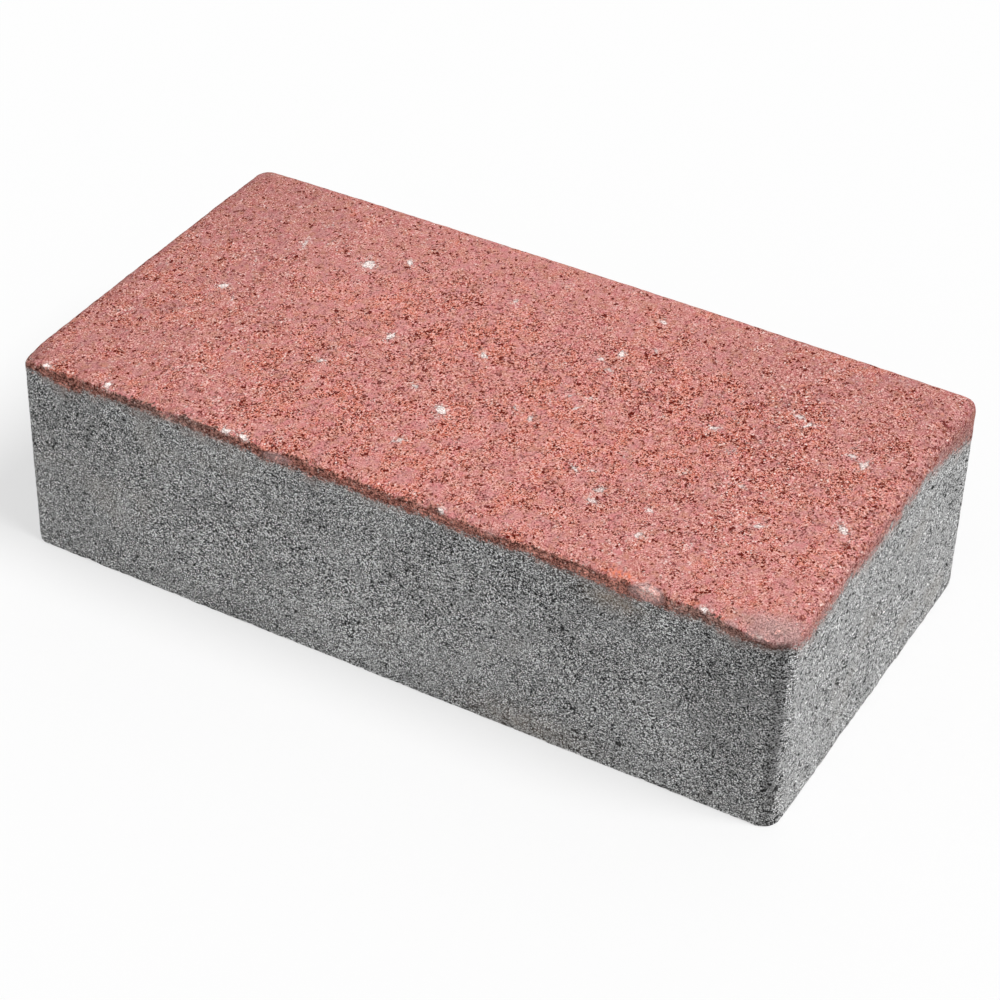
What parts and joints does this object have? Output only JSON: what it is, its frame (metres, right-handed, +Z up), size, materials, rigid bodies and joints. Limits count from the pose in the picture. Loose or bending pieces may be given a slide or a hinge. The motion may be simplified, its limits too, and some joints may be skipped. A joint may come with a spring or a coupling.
{
  "type": "concrete paving stone",
  "caption": "Rectangular concrete paving stone with a grey backing body, a thin red facing layer, a softly rounded upper edge and a flat bed face.",
  "frame": {"origin": "middle of the flat bed face, the underside that lies on the bedding sand", "axes": "+X along the stone's length, +Y across its width, +Z up through the red wearing face"},
  "size_m": [0.22, 0.115, 0.06],
  "materials": {
    "grey_concrete": "matte",
    "red_facing": "matte"
  },
  "bodies": {
    "root": {"backing_concrete": "grey_concrete", "facing_layer": "red_facing"}
  },
  "joints": []
}
